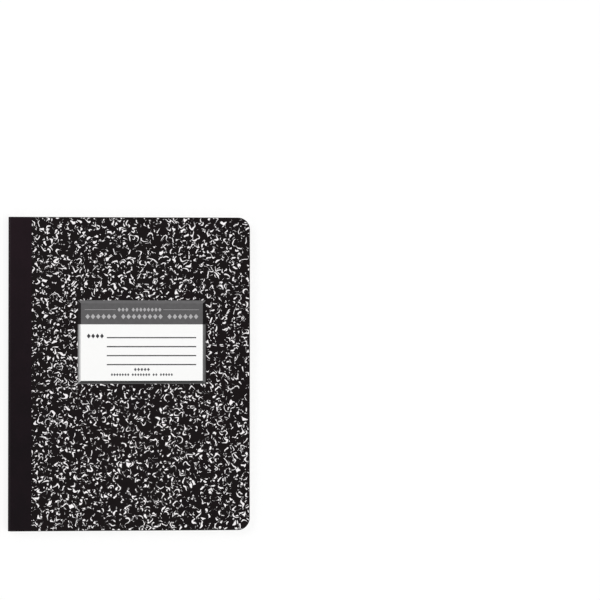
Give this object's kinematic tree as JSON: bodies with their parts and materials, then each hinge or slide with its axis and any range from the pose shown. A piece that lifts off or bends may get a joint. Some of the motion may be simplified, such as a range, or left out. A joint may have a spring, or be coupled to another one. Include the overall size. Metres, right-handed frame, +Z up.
{
  "type": "composition notebook",
  "caption": "Composition notebook lying closed: marbled board covers that open at the spine, sewn plain pages, a black spine tape and a ruled label.",
  "frame": {"origin": "under the middle of the closed book, on the plane that it lies on", "axes": "+Z up through the front cover, +Y towards the head of the book, +X from the spine towards the fore edge"},
  "size_m": [0.1905, 0.2476, 0.0068],
  "materials": {
    "board": "smooth white-faced pressboard",
    "marble_ink": "satin black print with bare white flecks",
    "leaf": "uncoated writing paper",
    "tape": "black bookbinding tape, fine weave, slight sheen",
    "thread": "twisted cotton thread",
    "frame_ink": "dark grey print",
    "band_ink": "grey print",
    "line_ink": "mid grey print"
  },
  "bodies": {
    "back_cover": {"back_board": "board", "back_marbling": "marble_ink", "back_end_leaf": "leaf", "back_tape": "tape"},
    "pages": {"page_block": "leaf", "sewing_thread": "thread", "spine_tape": "tape"},
    "front_cover": {"front_board": "board", "front_marbling": "marble_ink", "front_end_leaf": "leaf", "front_tape": "tape", "label_frame": "frame_ink", "label_band": "band_ink", "label_lines": "line_ink"}
  },
  "joints": [
    {"name": "back_hinge", "type": "hinge", "parent": "back_cover", "child": "pages", "pos_m": [-0.0939, 0, 0.0009], "axis": [0, -1, 0], "range_deg": [0, 180]},
    {"name": "front_hinge", "type": "hinge", "parent": "pages", "child": "front_cover", "pos_m": [-0.0939, 0, 0.0059], "axis": [0, -1, 0], "range_deg": [0, 180]}
  ]
}
